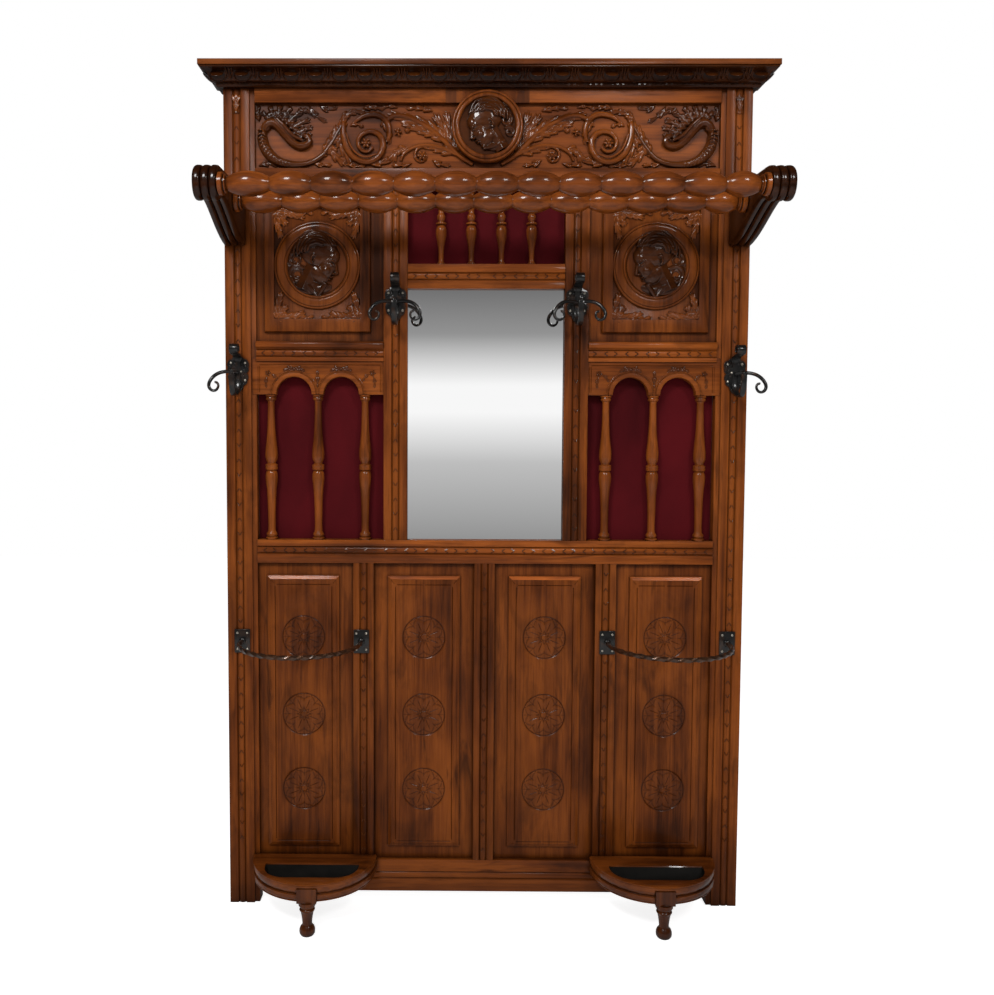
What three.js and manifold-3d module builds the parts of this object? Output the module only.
// A carved hall tree: two tall posts and four rails hold fielded panels, velvet behind turned spindles,
// a mirror, a carved frieze and a cornice. A hat rack of two bobbin-turned rods stands on reeded brackets,
// forged hooks hang on the posts and mirror stiles, and two half-round umbrella trays stand on turned feet.
// Millimetres, +Z up. X runs along the front, -Y is the front and the wall is behind.
import * as THREE from "three";
import { mergeVertices } from "three/addons/utils/BufferGeometryUtils.js";
import Module from "manifold-3d";

const wasm = await Module();
wasm.setup();

// Frame widths
const BODY_HALF_WIDTH = 632; // centre to the outer side of a post
const POST_WIDTH = 74;
const POST_DEPTH = 40;
const POST_LIP_WIDTH = 12; // the inner edge of a post, set back from its face
const POST_LIP_STEP = 5;
const MEMBER_DEPTH = 30; // rails, stiles and muntins
const MUNTIN_WIDTH = 50;
const MIRROR_HALF_WIDTH = 190;
const STILE_WIDTH = 58;

// Frame heights, from the floor up
const RAIL_CLEARANCE = 33; // the floor to the bottom rail
const BOTTOM_RAIL_HEIGHT = 80;
const LOWER_PANEL_HEIGHT = 745;
const MID_RAIL_HEIGHT = 57;
const MIRROR_HEIGHT = 611;
const MIRROR_RAIL_HEIGHT = 59;
const GALLERY_HEIGHT = 180;
const FRIEZE_RAIL_HEIGHT = 47;
const FRIEZE_HEIGHT = 154;
const TOP_RAIL_HEIGHT = 71;
const CORNICE_BOARD_THICKNESS = 13;
const SPINDLE_OPENING_HEIGHT = 355; // the mid rail to the arcade
const ARCADE_HEIGHT = 81;
const BEAD_RAIL_HEIGHT = 48;

// Joints
const FIT = 0.3; // clearance between two pieces that touch
const GROOVE_FRONT = 12; // depth of the groove's front wall below the frame's face
const GROOVE_WIDTH = 8;
const GROOVE_DEPTH = 10;

// Carved beads on the faces of the frame
const BEAD_RADIUS = 8;
const BEAD_DEPTH = 4;
const BEAD_QUIRK = 2.5;
const BEAD_SEGMENTS = 6;

// Fielded panels
const FIELD_SIDE_MARGIN = 33.5;
const FIELD_MARGIN = 31; // above and below the raised field
const FIELD_BEVEL = 9;
const FIELD_SET_BACK = 3; // the raised field lies this far behind the frame's face

// Medallions
const MEDALLION_SIDE_MARGIN = 35;
const MEDALLION_MARGIN = 27;
const MEDALLION_RING_INSET = 21; // the raised field's side to the ring
const MEDALLION_RING_WIDTH = 30;
const MEDALLION_DISC_DEPTH = 6;
const MEDALLION_RING_RISE = 6;
const HEAD_RELIEF = 17; // how far a carved head stands out of its disc

// Frieze roundel
const ROUNDEL_RADIUS = 85;
const ROUNDEL_DISC_RADIUS = 66;
const ROUNDEL_THICKNESS = 12;
const ROUNDEL_DISC_DEPTH = 7;
const ROUNDEL_DROP = 57; // the top rail's underside to the roundel's centre

// Arcades and spindles
const ARCH_IMPOST_WIDTH = 29; // the board's foot between two arches
const ARCH_BAND_WIDTH = 11;
const ARCH_BAND_RISE = 3;
const ARCADE_SET_BACK = 4;
const ARCADE_THICKNESS = 20;
const SPINDLE_SETBACK = 14; // the frame's face to a spindle's axis
const SIDE_SPINDLE_RADIUS = 15;
const GALLERY_SPINDLE_RADIUS = 13;
const PIN_RADIUS = 5;
const PIN_LENGTH = 9;
const SPINDLE_SIDES = 8;
const GALLERY_SPACING = 73;

// Velvet and mirror
const VELVET_THICKNESS = 6;
const VELVET_LAP = 12; // how far the velvet boards lap the frame's back
const MIRROR_REBATE = 10;
const MIRROR_SET_BACK = 14;
const GLASS_THICKNESS = 4;
const MIRROR_BOARD_THICKNESS = 6;

// Cornice
const CORNICE_REACH = 49; // the top board over the faces of the posts
const CORNICE_HEIGHT = 39;

// Hat rack
const BRACKET_WIDTH = 52;
const BRACKET_REACH = 290;
const BRACKET_HEEL_DROP = 140; // the frieze rail's underside down to the bracket's heel
const BRACKET_HEIGHT = 145; // at the post
const ROD_DROP = 66; // the bracket's top at the post down to the rods' axes
const REED_DEPTH = 3.5;
const REEDS = 3;
const FRONT_ROD_REACH = 268;
const REAR_ROD_REACH = 118;
const ROD_RADIUS = 28;
const ROD_NECK_RADIUS = 17;
const ROD_COLLAR_RADIUS = 24;
const ROD_COLLAR_LENGTH = 18;
const ROD_PIN_RADIUS = 8;
const ROD_PIN_LENGTH = 14;
const ROD_SIDES = 10;
const BOBBINS = 13;
const BOBBIN_LENGTH = 88;
const BOBBIN_SHIFT = 13; // the turner's middle lies right of the rod's

// Hooks
const OUTER_HOOK_HEIGHT = 1317; // centre of the plate
const INNER_HOOK_DROP = 40; // the mirror's top down to the middle of the plate
const HOOK_PLATE_HALF_WIDTH = 24;
const HOOK_PLATE_HALF_HEIGHT = 41;
const HOOK_PLATE_THICKNESS = 3;
const HOOK_STRAP_WIDTH = 21;
const HOOK_STRAP_THICKNESS = 4;
const HOOK_REACH = 74;
const HOOK_ROLL_RADIUS = 12;
const HOOK_ARM_SPAN = 61;
const HOOK_ARM_RADIUS = 4.6;

// Umbrella stands
const BAR_HEIGHT = 664;
const BAR_PLATE_INSET = 5; // a plate's middle from the middle of its post or muntin
const BAR_THICKNESS = 10;
const BAR_TWISTS = 9;
const BAR_STAND_OFF = 20; // straight part between a plate and the half-round
const BAR_PLATE_WIDTH = 38;
const BAR_PLATE_HEIGHT = 58;
const BAR_PLATE_THICKNESS = 3;
const TRAY_INSET = 60; // the outer side of a post to the tray
const TRAY_RADIUS = 154;
const TRAY_UNDERSIDE = 82;
const TRAY_HEIGHT = 44;
const PAN_BACK = 50; // the frame's face to the pan's opening
const PAN_FRONT = 118;
const PAN_HALF_WIDTH = 114;
const PAN_CORNER_RADIUS = 54;
const PAN_LEDGE = 6;
const PAN_WALL = 1.5;
const PAN_RIM_DROP = 3; // the pan's rim below the tray's top
const FOOT_SETBACK = 141; // the frame's face to a foot's axis
const FOOT_RADIUS = 20.5;
const FOOT_BLOCK_WIDTH = 47;
const FOOT_BLOCK_DEPTH = 30;
const FOOT_BLOCK_HEIGHT = 34;

// Heights and widths that follow from them
const bottomRailTop = RAIL_CLEARANCE + BOTTOM_RAIL_HEIGHT;
const midRailBottom = bottomRailTop + LOWER_PANEL_HEIGHT;
const midRailTop = midRailBottom + MID_RAIL_HEIGHT;
const mirrorTop = midRailTop + MIRROR_HEIGHT;
const mirrorRailTop = mirrorTop + MIRROR_RAIL_HEIGHT;
const friezeRailBottom = mirrorRailTop + GALLERY_HEIGHT;
const friezeRailTop = friezeRailBottom + FRIEZE_RAIL_HEIGHT;
const topRailBottom = friezeRailTop + FRIEZE_HEIGHT;
const frameTop = topRailBottom + TOP_RAIL_HEIGHT;
const arcadeBottom = midRailTop + SPINDLE_OPENING_HEIGHT;
const arcadeTop = arcadeBottom + ARCADE_HEIGHT;
const beadRailTop = arcadeTop + BEAD_RAIL_HEIGHT;
const postInner = BODY_HALF_WIDTH - POST_WIDTH;
const postFaceInner = postInner + POST_LIP_WIDTH;
const postBead = BODY_HALF_WIDTH - (POST_WIDTH - POST_LIP_WIDTH) / 2;
const stileOuter = MIRROR_HALF_WIDTH + STILE_WIDTH;
const stileMiddle = MIRROR_HALF_WIDTH + STILE_WIDTH / 2;
const sideMiddle = (stileOuter + postFaceInner) / 2;
const archSpacing = (postFaceInner - stileOuter) / 2.8;
const archRadius = (archSpacing - ARCH_IMPOST_WIDTH) / 2;
const medallionHalfWidth = (postFaceInner - stileOuter) / 2 - MEDALLION_SIDE_MARGIN;
const medallionRingRadius = medallionHalfWidth - MEDALLION_RING_INSET;
const medallionDiscRadius = medallionRingRadius - MEDALLION_RING_WIDTH;
const muntinPitch = (2 * postFaceInner - 3 * MUNTIN_WIDTH) / 4 + MUNTIN_WIDTH;
const trayTop = TRAY_UNDERSIDE + TRAY_HEIGHT;
const trayCentre = BODY_HALF_WIDTH - TRAY_INSET - TRAY_RADIUS;
const barCentre = (postBead + muntinPitch) / 2;
const barHalfSpan = (postBead - muntinPitch) / 2 - BAR_PLATE_INSET;
const bracketHeel = friezeRailBottom - BRACKET_HEEL_DROP;
const rodHeight = bracketHeel + BRACKET_HEIGHT - ROD_DROP;
const innerHookHeight = mirrorTop - INNER_HOOK_DROP;
const grooveBack = GROOVE_FRONT + GROOVE_WIDTH;
const tongueFront = GROOVE_FRONT + FIT;
const tongueBack = grooveBack - FIT;
const tongueLength = GROOVE_DEPTH - FIT;
const roundelHeight = topRailBottom - ROUNDEL_DROP;
const bracketInner = BODY_HALF_WIDTH - BRACKET_WIDTH;
const velvetFront = MEMBER_DEPTH + FIT;

// Materials
const finish = (color, roughness, metalness) => () =>
  new THREE.MeshStandardMaterial({ color, roughness, metalness });
const waxedWood = finish(0x7a3d1a, 0.38, 0);
const darkWood = finish(0x3a1f12, 0.35, 0);
const velvet = finish(0x5a0f1c, 0.95, 0);
const mirrorSilver = finish(0xd8dcdf, 0.03, 1);
const plainBoard = finish(0x8a6a48, 0.8, 0);
const forgedIron = finish(0x1c1b1a, 0.5, 0.9);
const panMetal = finish(0x17140f, 0.55, 0.8);

// Solids from three.js geometry

function solid(geometry) {
  const bare = geometry.index ? geometry.toNonIndexed() : geometry.clone();
  for (const name of ["normal", "uv"]) bare.deleteAttribute(name);
  const merged = mergeVertices(bare, 1e-4);
  return new wasm.Manifold(
    new wasm.Mesh({
      numProp: 3,
      vertProperties: merged.attributes.position.array,
      triVerts: new Uint32Array(merged.index.array),
    }),
  );
}

function geometryOf(body) {
  const mesh = body.getMesh();
  const geometry = new THREE.BufferGeometry();
  geometry.setAttribute("position", new THREE.BufferAttribute(mesh.vertProperties, 3));
  geometry.setIndex(new THREE.BufferAttribute(mesh.triVerts, 1));
  return geometry;
}

function join(first, ...others) {
  return geometryOf(others.reduce((sum, other) => sum.add(solid(other)), solid(first)));
}

function cut(body, ...tools) {
  return geometryOf(tools.reduce((rest, tool) => rest.subtract(solid(tool)), solid(body)));
}

function block(x0, x1, y0, y1, z0, z1) {
  const box = new THREE.BoxGeometry(Math.abs(x1 - x0), y1 - y0, z1 - z0);
  return box.translate((x0 + x1) / 2, (y0 + y1) / 2, (z0 + z1) / 2);
}

function outline(points) {
  return new THREE.Shape(points.map(([x, y]) => new THREE.Vector2(x, y)));
}

function extrude(shape, length, curveSegments = 8) {
  return new THREE.ExtrudeGeometry(shape, { depth: length, bevelEnabled: false, curveSegments });
}

// A plan outline (x, y) raised from z0 to z1.
function extrudeUp(shape, z0, z1, curveSegments) {
  return extrude(shape, z1 - z0, curveSegments).translate(0, 0, z0);
}

// A section (y, z) drawn along the front from x0 to x1.
function extrudeAlong(shape, x0, x1, curveSegments) {
  const turn = new THREE.Matrix4().set(0, 0, 1, x0, 1, 0, 0, 0, 0, 1, 0, 0, 0, 0, 0, 1);
  return extrude(shape, x1 - x0, curveSegments).applyMatrix4(turn);
}

// A front outline (x, z) from the face y0 back to y1.
function extrudeBack(shape, y0, y1, curveSegments) {
  return extrude(shape, y1 - y0, curveSegments).rotateX(Math.PI / 2).translate(0, y1, 0);
}

function pinHole(x, z0, z1) {
  const radius = PIN_RADIUS + FIT;
  const hole = new THREE.CylinderGeometry(radius, radius, z1 - z0, SPINDLE_SIDES);
  return hole.rotateX(Math.PI / 2).translate(x, SPINDLE_SETBACK, (z0 + z1) / 2);
}

// A block with four sloping sides: the raised field of a panel. Its foot lies at yBack, its top at yFront.
function raisedField(xMiddle, halfWidth, z0, z1, yFront, yBack, bevel) {
  const halfHeight = (z1 - z0) / 2;
  const field = new THREE.CylinderGeometry(1, 1, 1, 4, 1).rotateY(Math.PI / 4);
  const corners = field.attributes.position;
  for (let i = 0; i < corners.count; i++) {
    const front = corners.getY(i) > 0;
    const inset = front ? bevel : 0;
    const x = Math.sign(Math.round(corners.getX(i))) * (halfWidth - inset);
    const z = Math.sign(Math.round(corners.getZ(i))) * (halfHeight - inset);
    corners.setXYZ(i, x, front ? -yFront : -yBack, z);
  }
  return field.rotateX(Math.PI).translate(xMiddle, 0, (z0 + z1) / 2);
}

// Points of a face from t0 to t1 with round beads sunk in it, as [position, depth].
function beadedFace(t0, t1, beadMiddles) {
  const points = [[t0, 0]];
  for (const middle of beadMiddles) {
    points.push([middle - BEAD_RADIUS - BEAD_QUIRK, 0]);
    for (let i = 0; i <= BEAD_SEGMENTS; i++) {
      const angle = (Math.PI * i) / BEAD_SEGMENTS;
      points.push([middle - BEAD_RADIUS * Math.cos(angle), BEAD_DEPTH * (1 - Math.sin(angle))]);
    }
    points.push([middle + BEAD_RADIUS + BEAD_QUIRK, 0]);
  }
  points.push([t1, 0]);
  return points;
}

// Frame members

function post(side) {
  const face = beadedFace(postFaceInner, BODY_HALF_WIDTH, [postBead]).map(([t, d]) => [side * t, d]);
  const plan = outline([
    [side * postInner, POST_LIP_STEP],
    [side * postFaceInner, POST_LIP_STEP],
    ...face,
    [side * BODY_HALF_WIDTH, POST_DEPTH],
    [side * postInner, POST_DEPTH],
  ]);
  const grooveEnd = postInner + GROOVE_DEPTH;
  const groove = (z0, z1) =>
    block(side * (postInner - 1), side * grooveEnd, GROOVE_FRONT, grooveBack, z0, z1);
  return cut(
    extrudeUp(plan, 0, frameTop),
    groove(RAIL_CLEARANCE, midRailTop),
    groove(arcadeBottom, frameTop),
  );
}

function stile(side) {
  const plan = outline([
    ...beadedFace(MIRROR_HALF_WIDTH, stileOuter, [stileMiddle]).map(([t, d]) => [side * t, d]),
    [side * stileOuter, MEMBER_DEPTH],
    [side * MIRROR_HALF_WIDTH, MEMBER_DEPTH],
  ]);
  const low = midRailTop + FIT;
  const high = friezeRailBottom - FIT;
  const tenonInset = GROOVE_DEPTH + 2 * FIT;
  const tenon = (z0, z1) =>
    block(
      side * (MIRROR_HALF_WIDTH + tenonInset),
      side * (stileOuter - tenonInset),
      tongueFront,
      tongueBack,
      z0,
      z1,
    );
  const body = join(
    extrudeUp(plan, low, high),
    tenon(midRailTop - tongueLength, low + 1),
    tenon(high - 1, friezeRailBottom + tongueLength),
  );
  const innerCut = side * (MIRROR_HALF_WIDTH - 1);
  return cut(
    body,
    block(
      side * (stileOuter - GROOVE_DEPTH),
      side * (stileOuter + 1),
      GROOVE_FRONT,
      grooveBack,
      arcadeBottom,
      friezeRailBottom,
    ),
    block(
      innerCut,
      side * (MIRROR_HALF_WIDTH + MIRROR_REBATE),
      MIRROR_SET_BACK,
      MEMBER_DEPTH + 1,
      midRailTop - MIRROR_REBATE,
      mirrorTop + MIRROR_REBATE,
    ),
    block(
      innerCut,
      side * (MIRROR_HALF_WIDTH + GROOVE_DEPTH),
      GROOVE_FRONT,
      grooveBack,
      mirrorTop,
      mirrorRailTop,
    ),
  );
}

// A muntin between the bottom rail and the mid rail, grooved for a panel on each side.
function muntin() {
  const half = MUNTIN_WIDTH / 2;
  const sideGroove = (side) => [
    [side * half, side > 0 ? GROOVE_FRONT : grooveBack],
    [side * (half - GROOVE_DEPTH), side > 0 ? GROOVE_FRONT : grooveBack],
    [side * (half - GROOVE_DEPTH), side > 0 ? grooveBack : GROOVE_FRONT],
    [side * half, side > 0 ? grooveBack : GROOVE_FRONT],
  ];
  const plan = outline([
    ...beadedFace(-half, half, [0]),
    ...sideGroove(1),
    [half, MEMBER_DEPTH],
    [-half, MEMBER_DEPTH],
    ...sideGroove(-1),
  ]);
  const low = bottomRailTop + FIT;
  const high = midRailBottom - FIT;
  const tenonHalf = half - GROOVE_DEPTH - FIT;
  const tenon = (z0, z1) => block(-tenonHalf, tenonHalf, tongueFront, tongueBack, z0, z1);
  return join(
    extrudeUp(plan, low, high),
    tenon(bottomRailTop - tongueLength, low + 1),
    tenon(high - 1, midRailBottom + tongueLength),
  );
}

// A rail's section (y, z): its moulded face, and grooves in its top and bottom edges where panels sit.
function railSection(face, z0, z1, depth, grooveAbove, grooveBelow) {
  const points = face.map(([z, d]) => [d, z]);
  if (grooveAbove)
    points.push(
      [GROOVE_FRONT, z1],
      [GROOVE_FRONT, z1 - GROOVE_DEPTH],
      [grooveBack, z1 - GROOVE_DEPTH],
      [grooveBack, z1],
    );
  points.push([depth, z1], [depth, z0]);
  if (grooveBelow)
    points.push(
      [grooveBack, z0],
      [grooveBack, z0 + GROOVE_DEPTH],
      [GROOVE_FRONT, z0 + GROOVE_DEPTH],
      [GROOVE_FRONT, z0],
    );
  return outline(points);
}

// A rail between two uprights at x0 and x1, with a stub tenon at each end in the uprights' grooves.
function rail(section, x0, x1, tenonBottom, tenonTop) {
  return join(
    extrudeAlong(section, x0 + FIT, x1 - FIT),
    block(x0 - tongueLength, x0 + FIT + 1, tongueFront, tongueBack, tenonBottom, tenonTop),
    block(x1 - FIT - 1, x1 + tongueLength, tongueFront, tongueBack, tenonBottom, tenonTop),
  );
}

const tenonInset = GROOVE_DEPTH + 1; // a tenon stays clear of a groove in its rail's edge

function bottomRail() {
  const middle = RAIL_CLEARANCE + BOTTOM_RAIL_HEIGHT / 2;
  const face = beadedFace(RAIL_CLEARANCE, bottomRailTop, [middle]);
  const section = railSection(face, RAIL_CLEARANCE, bottomRailTop, MEMBER_DEPTH, true, false);
  return rail(section, -postInner, postInner, RAIL_CLEARANCE + 1, bottomRailTop - tenonInset);
}

function midRail() {
  const face = beadedFace(midRailBottom, midRailTop, [midRailBottom + 0.55 * MID_RAIL_HEIGHT]);
  const section = railSection(face, midRailBottom, midRailTop, MEMBER_DEPTH, false, true);
  const body = rail(section, -postInner, postInner, midRailBottom + tenonInset, midRailTop - 1);
  const rebate = MIRROR_HALF_WIDTH + MIRROR_REBATE;
  const above = midRailTop + 1;
  const cuts = [
    block(-rebate, rebate, MIRROR_SET_BACK, MEMBER_DEPTH + 1, midRailTop - MIRROR_REBATE, above),
  ];
  for (const side of [-1, 1]) {
    cuts.push(
      block(
        side * (MIRROR_HALF_WIDTH + GROOVE_DEPTH + FIT),
        side * (stileOuter - GROOVE_DEPTH - FIT),
        GROOVE_FRONT,
        grooveBack,
        midRailTop - GROOVE_DEPTH,
        above,
      ),
    );
    for (const step of [-1, 0, 1])
      cuts.push(pinHole(side * sideMiddle + step * archSpacing, midRailTop - GROOVE_DEPTH, above));
  }
  return cut(body, ...cuts);
}

function mirrorRail() {
  const face = beadedFace(mirrorTop, mirrorRailTop, [mirrorTop + MIRROR_RAIL_HEIGHT / 2]);
  const section = railSection(face, mirrorTop, mirrorRailTop, MEMBER_DEPTH, false, false);
  const inset = GROOVE_DEPTH + 1;
  const body = rail(section, -MIRROR_HALF_WIDTH, MIRROR_HALF_WIDTH, mirrorTop + inset, mirrorRailTop - 1);
  const cuts = [
    block(
      -MIRROR_HALF_WIDTH - 1,
      MIRROR_HALF_WIDTH + 1,
      MIRROR_SET_BACK,
      MEMBER_DEPTH + 1,
      mirrorTop - 1,
      mirrorTop + MIRROR_REBATE,
    ),
  ];
  for (const step of [-1.5, -0.5, 0.5, 1.5])
    cuts.push(pinHole(step * GALLERY_SPACING, mirrorRailTop - GROOVE_DEPTH, mirrorRailTop + 1));
  return cut(body, ...cuts);
}

function friezeRail() {
  const face = [
    [friezeRailBottom, 0],
    [friezeRailTop, 0],
  ];
  const section = railSection(face, friezeRailBottom, friezeRailTop, MEMBER_DEPTH, true, false);
  const body = rail(section, -postInner, postInner, friezeRailBottom + tenonInset, friezeRailTop - tenonInset);
  const cuts = [];
  for (const side of [-1, 1])
    cuts.push(
      block(
        side * (MIRROR_HALF_WIDTH + GROOVE_DEPTH + FIT),
        side * (postInner + 1),
        GROOVE_FRONT,
        grooveBack,
        friezeRailBottom - 1,
        friezeRailBottom + GROOVE_DEPTH,
      ),
    );
  for (const step of [-1.5, -0.5, 0.5, 1.5])
    cuts.push(pinHole(step * GALLERY_SPACING, friezeRailBottom - 1, friezeRailBottom + GROOVE_DEPTH));
  return cut(body, ...cuts);
}

function topRail() {
  const face = [
    [topRailBottom, 0],
    [frameTop, 0],
  ];
  const section = railSection(face, topRailBottom, frameTop, MEMBER_DEPTH, false, true);
  return rail(section, -postInner, postInner, topRailBottom + tenonInset, frameTop - 1);
}

// The moulding over an arcade: a fillet, a carved bead and a half-round nosing that stands out.
function beadRail(side) {
  const nosingRadius = 0.18 * BEAD_RAIL_HEIGHT;
  const nosingMiddle = beadRailTop - nosingRadius;
  const face = beadedFace(arcadeTop, beadRailTop - 2 * nosingRadius, [arcadeTop + 0.4 * BEAD_RAIL_HEIGHT]);
  for (let i = 1; i <= BEAD_SEGMENTS; i++) {
    const angle = (Math.PI * i) / BEAD_SEGMENTS;
    face.push([nosingMiddle - nosingRadius * Math.cos(angle), -0.7 * nosingRadius * Math.sin(angle)]);
  }
  const section = railSection(face, arcadeTop, beadRailTop, MEMBER_DEPTH - 4, true, true);
  const [x0, x1] = side > 0 ? [stileOuter, postInner] : [-postInner, -stileOuter];
  return rail(section, x0, x1, arcadeTop + tenonInset, beadRailTop - tenonInset);
}

// Panels

// A panel whose edges sit in the grooves around an opening, before its front is worked.
function tonguedBoard(x0, x1, z0, z1) {
  const reach = tongueLength;
  return block(x0 - reach, x1 + reach, tongueFront, tongueBack, z0 - reach, z1 + reach);
}

function lowerPanel(x0, x1, fieldMiddle, fieldHalfWidth) {
  const field = raisedField(
    fieldMiddle,
    fieldHalfWidth,
    bottomRailTop + FIELD_MARGIN,
    midRailBottom - FIELD_MARGIN,
    FIELD_SET_BACK,
    tongueFront + 1,
    FIELD_BEVEL,
  );
  return join(tonguedBoard(x0, x1, bottomRailTop, midRailBottom), field);
}

// A half-round ring about the y axis, its foot sunk in the face at y.
function ring(innerRadius, outerRadius, rise, y, sides) {
  const middle = (innerRadius + outerRadius) / 2;
  const half = (outerRadius - innerRadius) / 2;
  const points = [new THREE.Vector2(outerRadius, -1), new THREE.Vector2(innerRadius, -1)];
  const steps = 4;
  for (let i = 0; i <= steps; i++) {
    const angle = Math.PI * (1 - i / steps);
    points.push(new THREE.Vector2(middle + half * Math.cos(angle), rise * Math.sin(angle)));
  }
  points.push(points[0].clone());
  return new THREE.LatheGeometry(points.reverse(), sides).rotateX(Math.PI).translate(0, y, 0);
}

function disc(radius, y0, y1, sides) {
  return new THREE.CylinderGeometry(radius, radius, y1 - y0, sides).translate(0, (y0 + y1) / 2, 0);
}

function lump(halfWidth, halfDepth, halfHeight, x, y, z) {
  return new THREE.SphereGeometry(1, 8, 6).scale(halfWidth, halfDepth, halfHeight).translate(x, y, z);
}

// A head in relief that looks along +x or -x: skull, face, neck and draped shoulders. Its disc gives its size.
function headRelief(look, floor, discRadius) {
  const relief = HEAD_RELIEF;
  const r = discRadius;
  const whole = join(
    lump(0.33 * r, relief, 0.39 * r, -0.05 * r * look, floor, 0.19 * r),
    lump(0.2 * r, 0.75 * relief, 0.29 * r, 0.19 * r * look, floor, 0.07 * r),
    lump(0.19 * r, 0.7 * relief, 0.4 * r, -0.1 * r * look, floor, -0.27 * r),
    lump(0.53 * r, 0.65 * relief, 0.24 * r, -0.05 * r * look, floor, -0.61 * r),
  );
  return cut(whole, block(-r, r, floor + 2, floor + relief + 1, -r, r));
}

function medallionPanel(side) {
  const [x0, x1] = side > 0 ? [stileOuter, postInner] : [-postInner, -stileOuter];
  const z0 = beadRailTop;
  const z1 = friezeRailBottom;
  const fieldBottom = z0 + MEDALLION_MARGIN;
  const fieldTop = z1 - MEDALLION_MARGIN;
  const middle = side * sideMiddle;
  const height = (fieldBottom + fieldTop) / 2;
  const floor = FIELD_SET_BACK + MEDALLION_DISC_DEPTH;
  const board = join(
    tonguedBoard(x0, x1, z0, z1),
    raisedField(
      middle,
      medallionHalfWidth,
      fieldBottom,
      fieldTop,
      FIELD_SET_BACK,
      tongueFront + 1,
      FIELD_BEVEL,
    ),
  );
  const place = (geometry) => geometry.translate(middle, 0, height);
  const carved = cut(board, place(disc(medallionDiscRadius, FIELD_SET_BACK - 1, floor, 24)));
  return join(
    carved,
    place(ring(medallionDiscRadius, medallionRingRadius, MEDALLION_RING_RISE, FIELD_SET_BACK, 24)),
    place(headRelief(-side, floor, medallionDiscRadius)),
  );
}

// The frieze: its roundel laps the top rail, so it is rebated to stand in front of it.
function friezePanel() {
  const board = tonguedBoard(-postInner, postInner, friezeRailTop, topRailBottom);
  const place = (geometry) => geometry.translate(0, 0, roundelHeight);
  const face = -ROUNDEL_THICKNESS;
  const floor = face + ROUNDEL_DISC_DEPTH;
  const plate = cut(
    place(disc(ROUNDEL_RADIUS, face, tongueFront + 1, 28)),
    block(
      -ROUNDEL_RADIUS - 1,
      ROUNDEL_RADIUS + 1,
      -FIT,
      MEMBER_DEPTH,
      topRailBottom - FIT,
      topRailBottom + ROUNDEL_RADIUS,
    ),
    place(disc(ROUNDEL_DISC_RADIUS, face - 1, floor, 28)),
  );
  return join(board, plate, place(headRelief(1, floor, ROUNDEL_DISC_RADIUS)));
}

// A board with two round arches over the spindles, each with a raised band.
function arcade(side) {
  const [x0, x1] = side > 0 ? [stileOuter, postInner] : [-postInner, -stileOuter];
  const low = arcadeBottom + FIT;
  const high = arcadeTop - FIT;
  const middles = [-0.5, 0.5].map((step) => side * sideMiddle + step * archSpacing);
  const shape = new THREE.Shape();
  shape.moveTo(x0 + FIT, low);
  for (const middle of middles) {
    shape.lineTo(middle - archRadius, low);
    shape.absarc(middle, low, archRadius, Math.PI, 0, true);
  }
  shape.lineTo(x1 - FIT, low);
  shape.lineTo(x1 - FIT, high);
  shape.lineTo(x0 + FIT, high);
  const face = ARCADE_SET_BACK;
  const bands = middles.map((middle) => {
    const band = new THREE.Shape();
    band.absarc(middle, low, archRadius + ARCH_BAND_WIDTH, 0, Math.PI, false);
    band.absarc(middle, low, archRadius, Math.PI, 0, true);
    return extrudeBack(band, face - ARCH_BAND_RISE, face + 1, 8);
  });
  const board = join(
    extrudeBack(shape, face, face + ARCADE_THICKNESS, 8),
    ...bands,
    block(x0 - tongueLength, x0 + 2, tongueFront, tongueBack, low + 4, high + tongueLength),
    block(x1 - 2, x1 + tongueLength, tongueFront, tongueBack, low + 4, high + tongueLength),
    block(x0, x1, tongueFront, tongueBack, high - 1, high + tongueLength),
  );
  const holes = [-1, 0, 1].map((step) =>
    pinHole(side * sideMiddle + step * archSpacing, arcadeBottom - 1, arcadeBottom + GROOVE_DEPTH),
  );
  return cut(board, ...holes);
}

// Turned spindles

// A spindle with a pin at each end. Its profile is given in shares of its radius and of its height.
function spindle(radius, height, profile) {
  const top = height - FIT;
  const turned = [
    [0, -PIN_LENGTH],
    [PIN_RADIUS, -PIN_LENGTH],
    [PIN_RADIUS, FIT],
    ...profile.map(([share, up]) => [share * radius, FIT + up * (top - FIT)]),
    [PIN_RADIUS, top],
    [PIN_RADIUS, top + PIN_LENGTH],
    [0, top + PIN_LENGTH],
  ];
  const points = turned.map(([r, z]) => new THREE.Vector2(r, z));
  return new THREE.LatheGeometry(points, SPINDLE_SIDES).rotateX(Math.PI / 2);
}

// A side spindle: a foot, two long vases that meet at a ring, and a cap.
const sideProfile = [
  [0.93, 0],
  [1, 0.02],
  [0.96, 0.033],
  [0.72, 0.047],
  [0.61, 0.08],
  [0.62, 0.17],
  [0.69, 0.277],
  [0.85, 0.365],
  [1, 0.432],
  [0.76, 0.477],
  [0.98, 0.487],
  [0.98, 0.518],
  [0.67, 0.53],
  [1, 0.585],
  [0.77, 0.7],
  [0.57, 0.84],
  [0.54, 0.955],
  [0.84, 0.966],
  [0.9, 0.98],
  [0.9, 1],
];

// A gallery spindle: a slim vase under a ring and a ball.
const galleryProfile = [
  [0.69, 0],
  [0.69, 0.025],
  [0.48, 0.12],
  [0.6, 0.26],
  [0.93, 0.36],
  [1, 0.435],
  [0.54, 0.52],
  [1, 0.54],
  [0.48, 0.57],
  [0.78, 0.63],
  [0.48, 0.7],
  [0.7, 0.83],
  [0.5, 0.94],
  [0.77, 0.96],
  [0.77, 1],
];

// Cornice

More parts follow.
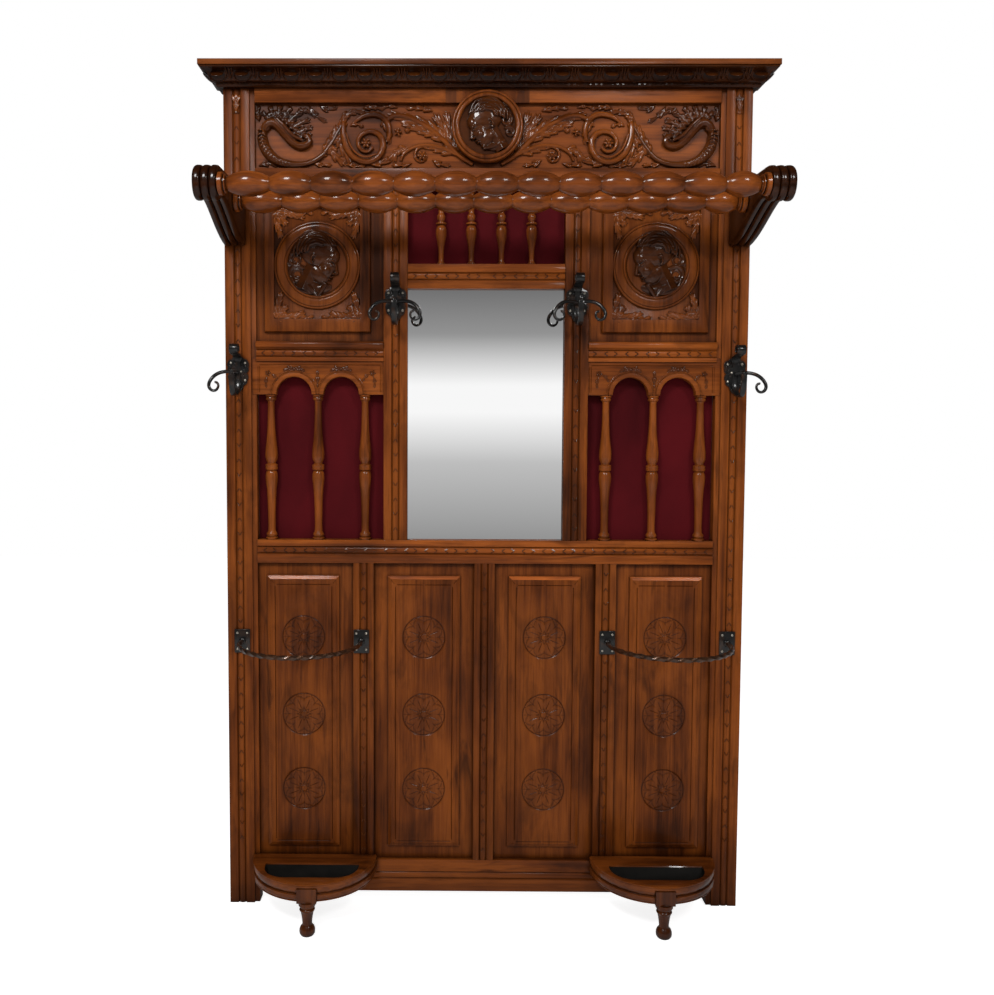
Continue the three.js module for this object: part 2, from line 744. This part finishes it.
// The moulding's section as [reach, height]: a fillet, a bead, a deep cove and a nosing under the board.
function corniceSection() {
  const top = frameTop - FIT;
  const bottom = frameTop - CORNICE_HEIGHT;
  const reach = CORNICE_REACH;
  const height = top - bottom;
  const nosing = 0.94 * reach;
  const cove = new THREE.QuadraticBezierCurve(
    new THREE.Vector2(0.49 * reach, bottom + 0.26 * height),
    new THREE.Vector2(0.55 * reach, bottom + 0.77 * height),
    new THREE.Vector2(nosing, bottom + 0.9 * height),
  );
  return [
    [FIT, bottom],
    [0.22 * reach, bottom],
    [0.29 * reach, bottom + 0.1 * height],
    [0.29 * reach, bottom + 0.2 * height],
    ...cove.getPoints(5).map((p) => [p.x, p.y]),
    [nosing, top],
    [FIT, top],
  ];
}

const mitreGap = FIT / 2;

function corniceFront() {
  const section = corniceSection().map(([reach, z]) => [-reach, z]);
  const strip = extrudeAlong(outline(section), 0, 1);
  const corners = strip.attributes.position;
  for (let i = 0; i < corners.count; i++) {
    const side = corners.getX(i) > 0.5 ? 1 : -1;
    corners.setX(i, side * (BODY_HALF_WIDTH - corners.getY(i) - mitreGap));
  }
  return strip;
}

function corniceReturn(side) {
  const section = corniceSection().map(([reach, z]) => [side * (BODY_HALF_WIDTH + reach), z]);
  const strip = extrudeBack(outline(section), 0, 1);
  const corners = strip.attributes.position;
  for (let i = 0; i < corners.count; i++) {
    const reach = Math.abs(corners.getX(i)) - BODY_HALF_WIDTH;
    corners.setY(i, corners.getY(i) > 0.5 ? POST_DEPTH : -reach + mitreGap);
  }
  return strip;
}

// Hat rack

// Half the side outline of a bracket as [reach, height], from the top of the post's face round to its heel.
function bracketOutline() {
  const heel = bracketHeel;
  const height = BRACKET_HEIGHT;
  const reach = BRACKET_REACH;
  const at = (out, up) => [out * reach, heel + up * height];
  const path = new THREE.Path();
  path.moveTo(FIT, heel + height);
  path.bezierCurveTo(...at(0.31, 0.89), ...at(0.59, 0.855), ...at(0.83, 0.85));
  path.bezierCurveTo(...at(0.94, 0.85), ...at(1, 0.73), ...at(1, 0.58));
  path.bezierCurveTo(...at(1, 0.41), ...at(0.95, 0.32), ...at(0.89, 0.32));
  path.quadraticCurveTo(...at(0.84, 0.32), ...at(0.8, 0.42));
  path.bezierCurveTo(...at(0.6, 0.52), ...at(0.35, 0.06), FIT, heel);
  return path.getPoints(4);
}

// A bracket is lofted across its width: every outline is drawn in by the depth of the reeding there.
function bracketBody() {
  const edge = bracketOutline().reverse();
  const count = edge.length;
  const inward = edge.map((point, i) => {
    if (i === 0) return new THREE.Vector2(0, 1);
    if (i === count - 1) return new THREE.Vector2(0, -1);
    const along = edge[i + 1].clone().sub(edge[i - 1]).normalize();
    return new THREE.Vector2(-along.y, along.x);
  });
  const stations = 3 * REEDS; // a groove, then the two sides of a reed
  const positions = [];
  for (let s = 0; s <= stations; s++) {
    const share = s / stations;
    const depth = s % 3 === 0 ? REED_DEPTH : 0;
    edge.forEach((point, i) => {
      const reach = point.x + depth * inward[i].x;
      const height = point.y + depth * inward[i].y;
      positions.push(share * BRACKET_WIDTH, -reach, height);
    });
  }
  const index = [];
  for (let s = 0; s < stations; s++)
    for (let i = 0; i < count; i++) {
      const a = s * count + i;
      const b = s * count + ((i + 1) % count);
      index.push(a, a + count, b, b, a + count, b + count);
    }
  const caps = THREE.ShapeUtils.triangulateShape(edge, []);
  const last = stations * count;
  for (const [a, b, c] of caps) {
    index.push(a, b, c);
    index.push(last + a, last + c, last + b);
  }
  return facingOut(positions, index);
}

// A closed mesh from positions and triangles, turned the right way out.
function facingOut(positions, index) {
  let volume = 0;
  const corner = (i) => new THREE.Vector3().fromArray(positions, 3 * i);
  for (let i = 0; i < index.length; i += 3) {
    const [a, b, c] = [corner(index[i]), corner(index[i + 1]), corner(index[i + 2])];
    volume += a.dot(b.cross(c));
  }
  const geometry = new THREE.BufferGeometry();
  geometry.setAttribute("position", new THREE.Float32BufferAttribute(positions, 3));
  geometry.setIndex(volume < 0 ? index.slice().reverse() : index);
  return geometry;
}

function rodHole(x, reach) {
  const radius = ROD_PIN_RADIUS + FIT;
  const hole = new THREE.CylinderGeometry(radius, radius, 2 * (ROD_PIN_LENGTH + 1), ROD_SIDES);
  return hole.rotateZ(Math.PI / 2).translate(x, -reach, rodHeight);
}

function bracket(side) {
  const body = bracketBody().translate(side > 0 ? bracketInner : -BODY_HALF_WIDTH, 0, 0);
  const inner = side * bracketInner;
  return cut(body, rodHole(inner, FRONT_ROD_REACH), rodHole(inner, REAR_ROD_REACH));
}

// A rod: pins in the brackets, a collar at each end and bobbins turned one against the next.
function rod() {
  const end = bracketInner - FIT;
  const shoulder = end - ROD_COLLAR_LENGTH;
  const necks = [-shoulder];
  for (let i = 1; i < BOBBINS; i++) necks.push((i - BOBBINS / 2) * BOBBIN_LENGTH + BOBBIN_SHIFT);
  necks.push(shoulder);
  const endTurning = [
    [0, end + ROD_PIN_LENGTH],
    [ROD_PIN_RADIUS, end + ROD_PIN_LENGTH],
    [ROD_PIN_RADIUS, end],
    [ROD_COLLAR_RADIUS - 3, end],
    [ROD_COLLAR_RADIUS, end - 0.2 * ROD_COLLAR_LENGTH],
    [ROD_COLLAR_RADIUS, end - 0.5 * ROD_COLLAR_LENGTH],
    [ROD_NECK_RADIUS, end - 0.6 * ROD_COLLAR_LENGTH],
    [ROD_NECK_RADIUS + 3, end - 0.8 * ROD_COLLAR_LENGTH],
  ];
  const points = endTurning.map(([radius, x]) => new THREE.Vector2(radius, -x));
  const steps = 4;
  for (let b = 0; b < BOBBINS; b++)
    for (let i = 0; i < steps; i++) {
      const share = i / steps;
      const swell = Math.sqrt(Math.sin(Math.PI * share));
      const radius = ROD_NECK_RADIUS + (ROD_RADIUS - ROD_NECK_RADIUS) * swell;
      points.push(new THREE.Vector2(radius, THREE.MathUtils.lerp(necks[b], necks[b + 1], share)));
    }
  points.push(new THREE.Vector2(ROD_NECK_RADIUS, shoulder));
  points.push(...endTurning.reverse().map(([radius, x]) => new THREE.Vector2(radius, x)));
  return new THREE.LatheGeometry(points, ROD_SIDES).rotateZ(-Math.PI / 2);
}

// Ironwork

// A bar swept along a curve; the section has so many sides, its radius and turn follow the share of the length.
function sweep(curve, steps, sides, radiusAt, turnAt) {
  const frames = curve.computeFrenetFrames(steps, false);
  const positions = [];
  for (let s = 0; s <= steps; s++) {
    const share = s / steps;
    const middle = curve.getPointAt(share);
    for (let k = 0; k < sides; k++) {
      const angle = (2 * Math.PI * (k + 0.5)) / sides + turnAt(share);
      const radius = radiusAt(share);
      const corner = middle
        .clone()
        .addScaledVector(frames.normals[s], radius * Math.cos(angle))
        .addScaledVector(frames.binormals[s], radius * Math.sin(angle));
      positions.push(corner.x, corner.y, corner.z);
    }
  }
  const index = [];
  for (let s = 0; s < steps; s++)
    for (let k = 0; k < sides; k++) {
      const a = s * sides + k;
      const b = s * sides + ((k + 1) % sides);
      index.push(a, b, a + sides, b, b + sides, a + sides);
    }
  const last = steps * sides;
  for (let k = 1; k < sides - 1; k++) {
    index.push(0, k + 1, k);
    index.push(last, last + k, last + k + 1);
  }
  return facingOut(positions, index);
}

// The strap of a hook in side view: it rolls over above the plate, runs down it and turns up in front.
function hookStrap() {
  const reach = HOOK_REACH;
  const half = HOOK_PLATE_HALF_HEIGHT;
  const at = (out, up) => new THREE.Vector2(-out * reach, up * half);
  const rollMiddle = at(0.57, 1.46);
  const rollRadius = HOOK_ROLL_RADIUS - HOOK_STRAP_THICKNESS / 2;
  const back = -HOOK_PLATE_THICKNESS - HOOK_STRAP_THICKNESS / 2 + 1;
  const line = [];
  const turns = 6;
  for (let i = 0; i <= turns; i++) {
    const angle = THREE.MathUtils.degToRad(40 + (250 * i) / turns);
    line.push(
      new THREE.Vector2(
        rollMiddle.x + rollRadius * Math.cos(angle),
        rollMiddle.y + rollRadius * Math.sin(angle),
      ),
    );
  }
  const behind = (up) => new THREE.Vector2(back, up * half);
  const last = line[line.length - 1];
  const neck = new THREE.CubicBezierCurve(last, at(0.38, 1.12), behind(1.22), behind(0.78));
  const bend = new THREE.CubicBezierCurve(behind(-0.15), behind(-1.07), at(0.38, -1.22), at(0.59, -1.22));
  const rise = new THREE.CubicBezierCurve(at(0.59, -1.22), at(0.89, -1.22), at(1, -0.54), at(0.97, 0.05));
  line.push(...neck.getPoints(4).slice(1), ...bend.getPoints(4), ...rise.getPoints(4).slice(1));
  const edge = (sign) =>
    line.map((point, i) => {
      const before = line[Math.max(i - 1, 0)];
      const after = line[Math.min(i + 1, line.length - 1)];
      const along = after.clone().sub(before).normalize();
      const out = (sign * HOOK_STRAP_THICKNESS) / 2;
      return [point.x - out * along.y, point.y + out * along.x];
    });
  const shape = outline([...edge(1), ...edge(-1).reverse()]);
  return extrudeAlong(shape, -HOOK_STRAP_WIDTH / 2, HOOK_STRAP_WIDTH / 2);
}

// The plate behind the strap: square shoulders, a waist and a pointed tail.
function hookPlate() {
  const w = HOOK_PLATE_HALF_WIDTH;
  const h = HOOK_PLATE_HALF_HEIGHT;
  const shape = new THREE.Shape();
  shape.moveTo(0, -h);
  shape.quadraticCurveTo(0.3 * w, -0.7 * h, 0.75 * w, -0.55 * h);
  shape.quadraticCurveTo(1.1 * w, -0.3 * h, 0.8 * w, 0);
  shape.quadraticCurveTo(0.75 * w, 0.3 * h, w, 0.5 * h);
  shape.lineTo(0.95 * w, 0.85 * h);
  shape.lineTo(0.5 * w, h);
  shape.lineTo(-0.5 * w, h);
  shape.lineTo(-0.95 * w, 0.85 * h);
  shape.lineTo(-w, 0.5 * h);
  shape.quadraticCurveTo(-0.75 * w, 0.3 * h, -0.8 * w, 0);
  shape.quadraticCurveTo(-1.1 * w, -0.3 * h, -0.75 * w, -0.55 * h);
  shape.quadraticCurveTo(-0.3 * w, -0.7 * h, 0, -h);
  return extrudeBack(shape, -HOOK_PLATE_THICKNESS, 0, 3);
}

// A side arm: a tapered round bar that leaves the strap, swings out, drops and curls up on itself.
function hookArm(side) {
  const span = HOOK_ARM_SPAN;
  const reach = HOOK_REACH;
  const half = HOOK_PLATE_HALF_HEIGHT;
  const stops = [
    [0, 0.12, 0.15],
    [0.45, 0.38, 0.15],
    [0.82, 0.54, -0.15],
    [1, 0.62, -0.585],
    [0.87, 0.65, -0.93],
    [0.66, 0.65, -0.88],
    [0.6, 0.64, -0.61],
    [0.7, 0.62, -0.49],
  ].map(([x, out, up]) => new THREE.Vector3(side * x * span, -out * reach, up * half));
  const curve = new THREE.CatmullRomCurve3(stops);
  return sweep(curve, 13, 5, (share) => HOOK_ARM_RADIUS * (1 - 0.45 * share), () => 0);
}

function hook(armSides) {
  return join(hookPlate(), hookStrap(), ...armSides.map((side) => hookArm(side)));
}

// The route of an umbrella bar: straight out of a plate, round the half circle and back.
function barRoute() {
  const route = new THREE.CurvePath();
  const r = barHalfSpan;
  const start = new THREE.Vector3(-r, -1, 0);
  const turnIn = new THREE.Vector3(-r, -BAR_STAND_OFF, 0);
  const turnOut = new THREE.Vector3(r, -BAR_STAND_OFF, 0);
  const stop = new THREE.Vector3(r, -1, 0);
  const bow = new THREE.Curve();
  bow.getPoint = (t, target = new THREE.Vector3()) => {
    const angle = Math.PI * t;
    return target.set(-r * Math.cos(angle), -BAR_STAND_OFF - r * Math.sin(angle), 0);
  };
  route.add(new THREE.LineCurve3(start, turnIn));
  route.add(bow);
  route.add(new THREE.LineCurve3(turnOut, stop));
  return route;
}

function umbrellaBar() {
  const route = barRoute();
  const steps = 54;
  const flat = new THREE.Curve();
  flat.getPoint = (t, target = new THREE.Vector3()) => target.copy(route.getPointAt(t));
  const radius = BAR_THICKNESS / Math.SQRT2;
  const bar = sweep(flat, steps, 4, () => radius, (share) => 2 * Math.PI * BAR_TWISTS * share);
  const plates = [-1, 1].map((side) =>
    block(
      side * barHalfSpan - BAR_PLATE_WIDTH / 2,
      side * barHalfSpan + BAR_PLATE_WIDTH / 2,
      -BAR_PLATE_THICKNESS,
      0,
      -BAR_PLATE_HEIGHT / 2,
      BAR_PLATE_HEIGHT / 2,
    ),
  );
  return join(bar, ...plates);
}

// Umbrella trays, drawn about the middle of their straight back, at floor level

// The pan's opening, drawn in by an inset: straight at the back, with round front corners.
function panShape(inset) {
  const w = PAN_HALF_WIDTH - inset;
  const back = -PAN_BACK - inset;
  const front = -PAN_FRONT + inset;
  const r = PAN_CORNER_RADIUS - inset;
  const shape = new THREE.Shape();
  shape.moveTo(-w, back);
  shape.lineTo(-w, front + r);
  shape.absarc(-w + r, front + r, r, Math.PI, 1.5 * Math.PI, false);
  shape.absarc(w - r, front + r, r, 1.5 * Math.PI, 2 * Math.PI, false);
  shape.lineTo(w, back);
  return shape;
}

const panFloor = TRAY_UNDERSIDE + PAN_LEDGE;
const footNotchTop = TRAY_UNDERSIDE + FOOT_BLOCK_HEIGHT + FIT;

function tray() {
  const r = TRAY_RADIUS;
  const z = TRAY_UNDERSIDE;
  const h = TRAY_HEIGHT;
  const path = new THREE.Path();
  path.moveTo(0, z);
  path.lineTo(r - 0.14 * h, z);
  path.quadraticCurveTo(r + 0.04 * h, z + 0.2 * h, r - 0.05 * h, z + 0.38 * h);
  path.lineTo(r - 0.16 * h, z + 0.45 * h);
  path.lineTo(r - 0.07 * h, z + 0.52 * h);
  path.quadraticCurveTo(r + 0.02 * h, z + 0.72 * h, r - 0.02 * h, z + 0.88 * h);
  path.quadraticCurveTo(r - 0.05 * h, z + h, r - 0.16 * h, z + h);
  path.lineTo(0, z + h);
  const size = 2 * r;
  const half = FOOT_BLOCK_WIDTH / 2 + FIT;
  const frontFace = -FOOT_SETBACK - FOOT_BLOCK_DEPTH / 2;
  return cut(
    new THREE.LatheGeometry(path.getPoints(2), 36).rotateX(Math.PI / 2),
    block(-size, size, -FIT, size, z - 1, trayTop + 1),
    extrudeUp(panShape(0), panFloor, trayTop + 1, 6),
    extrudeUp(panShape(PAN_LEDGE), z - 1, panFloor + 1, 6),
    block(-half, half, -size, frontFace + FOOT_BLOCK_DEPTH + FIT, z - 1, footNotchTop),
  );
}

function dripPan() {
  const top = trayTop - PAN_RIM_DROP;
  const outer = extrudeUp(panShape(FIT), panFloor + FIT, top, 6);
  return cut(outer, extrudeUp(panShape(FIT + PAN_WALL), panFloor + FIT + PAN_WALL, top + 1, 6));
}

function foot() {
  const z = TRAY_UNDERSIDE;
  const shoulder = z - FIT;
  const r = FOOT_RADIUS;
  const points = [
    [0, 0],
    [0.63, 0],
    [0.9, 0.06],
    [0.9, 0.17],
    [0.56, 0.33],
    [0.61, 0.54],
    [0.8, 0.68],
    [0.97, 0.77],
    [0.8, 0.84],
    [1, 0.93],
    [1, 1],
    [0.68, 1],
  ].map(([share, up]) => new THREE.Vector2(share * r, up * shoulder));
  points.push(new THREE.Vector2(0.68 * r, z + 1), new THREE.Vector2(0, z + 1));
  const half = FOOT_BLOCK_WIDTH / 2;
  return join(
    new THREE.LatheGeometry(points, 12).rotateX(Math.PI / 2),
    block(-half, half, -FOOT_BLOCK_DEPTH / 2, FOOT_BLOCK_DEPTH / 2, z, z + FOOT_BLOCK_HEIGHT),
  );
}

// The whole hall tree, with the faces of the frame at y = 0 inside the group

export const hallTree = new THREE.Group();

function add(name, geometry, material, x = 0, y = 0, z = 0) {
  const mesh = new THREE.Mesh(geometry, material());
  mesh.name = name;
  mesh.position.set(x, y, z);
  hallTree.add(mesh);
  return mesh;
}

const sides = [
  ["left", -1],
  ["right", 1],
];

for (const [name, side] of sides) {
  add(`${name}_post`, post(side), waxedWood);
  add(`${name}_mirror_stile`, stile(side), waxedWood);
  add(`${name}_medallion_panel`, medallionPanel(side), waxedWood);
  add(`${name}_bead_rail`, beadRail(side), waxedWood);
  add(`${name}_arcade`, arcade(side), waxedWood);
  for (const step of [-1, 0, 1])
    add(
      `${name}_spindle_${step + 2}`,
      spindle(SIDE_SPINDLE_RADIUS, SPINDLE_OPENING_HEIGHT, sideProfile),
      waxedWood,
      side * sideMiddle + step * archSpacing,
      SPINDLE_SETBACK,
      midRailTop,
    );
}

add("mid_rail", midRail(), waxedWood);
add("bottom_rail", bottomRail(), waxedWood);
add("mirror_rail", mirrorRail(), waxedWood);
add("frieze_rail", friezeRail(), waxedWood);
add("frieze_panel", friezePanel(), waxedWood);
add("top_rail", topRail(), waxedWood);
for (const [name, step] of [
  ["left_muntin", -1],
  ["centre_muntin", 0],
  ["right_muntin", 1],
])
  add(name, muntin(), waxedWood, step * muntinPitch);

const muntinHalf = MUNTIN_WIDTH / 2;
const innerPanel = [muntinHalf, muntinPitch - muntinHalf];
const outerPanel = [muntinPitch + muntinHalf, postInner];
const innerField = (innerPanel[0] + innerPanel[1]) / 2;
const outerField = (outerPanel[0] + postFaceInner) / 2;
const innerHalf = innerField - innerPanel[0] - FIELD_SIDE_MARGIN;
const outerHalf = outerField - outerPanel[0] - FIELD_SIDE_MARGIN;
add("lower_panel_1", lowerPanel(-outerPanel[1], -outerPanel[0], -outerField, outerHalf), waxedWood);
add("lower_panel_2", lowerPanel(-innerPanel[1], -innerPanel[0], -innerField, innerHalf), waxedWood);
add("lower_panel_3", lowerPanel(innerPanel[0], innerPanel[1], innerField, innerHalf), waxedWood);
add("lower_panel_4", lowerPanel(outerPanel[0], outerPanel[1], outerField, outerHalf), waxedWood);

for (let i = 0; i < 4; i++)
  add(
    `gallery_spindle_${i + 1}`,
    spindle(GALLERY_SPINDLE_RADIUS, GALLERY_HEIGHT, galleryProfile),
    waxedWood,
    (i - 1.5) * GALLERY_SPACING,
    SPINDLE_SETBACK,
    mirrorRailTop,
  );

// Velvet over thin boards, fixed to the back of the frame.
for (const [name, side] of sides)
  add(
    `${name}_velvet_panel`,
    block(
      side * (stileOuter - VELVET_LAP),
      side * (postInner - FIT),
      velvetFront,
      velvetFront + VELVET_THICKNESS,
      midRailTop - VELVET_LAP,
      arcadeBottom + 4 * VELVET_LAP,
    ),
    velvet,
  );
add(
  "top_velvet_panel",
  block(
    -MIRROR_HALF_WIDTH - VELVET_LAP,
    MIRROR_HALF_WIDTH + VELVET_LAP,
    velvetFront,
    velvetFront + VELVET_THICKNESS,
    mirrorRailTop - VELVET_LAP,
    friezeRailBottom + VELVET_LAP,
  ),
  velvet,
);

// The glass and its board lie in the rebate from behind.
const glassHalf = MIRROR_HALF_WIDTH + MIRROR_REBATE - FIT;
const glassLow = midRailTop - MIRROR_REBATE + FIT;
const glassHigh = mirrorTop + MIRROR_REBATE - FIT;
const glassFront = MIRROR_SET_BACK + FIT;
const boardFront = glassFront + GLASS_THICKNESS + FIT;
add(
  "mirror_glass",
  block(-glassHalf, glassHalf, glassFront, glassFront + GLASS_THICKNESS, glassLow, glassHigh),
  mirrorSilver,
);
add(
  "mirror_back",
  block(-glassHalf, glassHalf, boardFront, boardFront + MIRROR_BOARD_THICKNESS, glassLow, glassHigh),
  plainBoard,
);

add(
  "cornice_board",
  block(
    -BODY_HALF_WIDTH - CORNICE_REACH,
    BODY_HALF_WIDTH + CORNICE_REACH,
    -CORNICE_REACH,
    POST_DEPTH,
    frameTop,
    frameTop + CORNICE_BOARD_THICKNESS,
  ),
  waxedWood,
);
add("cornice_front", corniceFront(), darkWood);
for (const [name, side] of sides) add(`cornice_${name}_return`, corniceReturn(side), darkWood);

for (const [name, side] of sides) add(`${name}_bracket`, bracket(side), darkWood);
add("front_rod", rod(), waxedWood, 0, -FRONT_ROD_REACH, rodHeight);
add("rear_rod", rod(), waxedWood, 0, -REAR_ROD_REACH, rodHeight);

add("left_outer_hook", hook([-1]), forgedIron, -postBead, -FIT, OUTER_HOOK_HEIGHT);
add("left_inner_hook", hook([-1, 1]), forgedIron, -stileMiddle, -FIT, innerHookHeight);
add("right_inner_hook", hook([-1, 1]), forgedIron, stileMiddle, -FIT, innerHookHeight);
add("right_outer_hook", hook([1]), forgedIron, postBead, -FIT, OUTER_HOOK_HEIGHT);

for (const [name, side] of sides) {
  add(`${name}_umbrella_bar`, umbrellaBar(), forgedIron, side * barCentre, -FIT, BAR_HEIGHT);
  add(`${name}_tray`, tray(), waxedWood, side * trayCentre);
  add(`${name}_drip_pan`, dripPan(), panMetal, side * trayCentre);
  add(`${name}_foot`, foot(), waxedWood, side * trayCentre, -FOOT_SETBACK);
}

// The origin is the middle of the object's box on the floor.
hallTree.position.y = (BRACKET_REACH - POST_DEPTH) / 2;

export default hallTree;
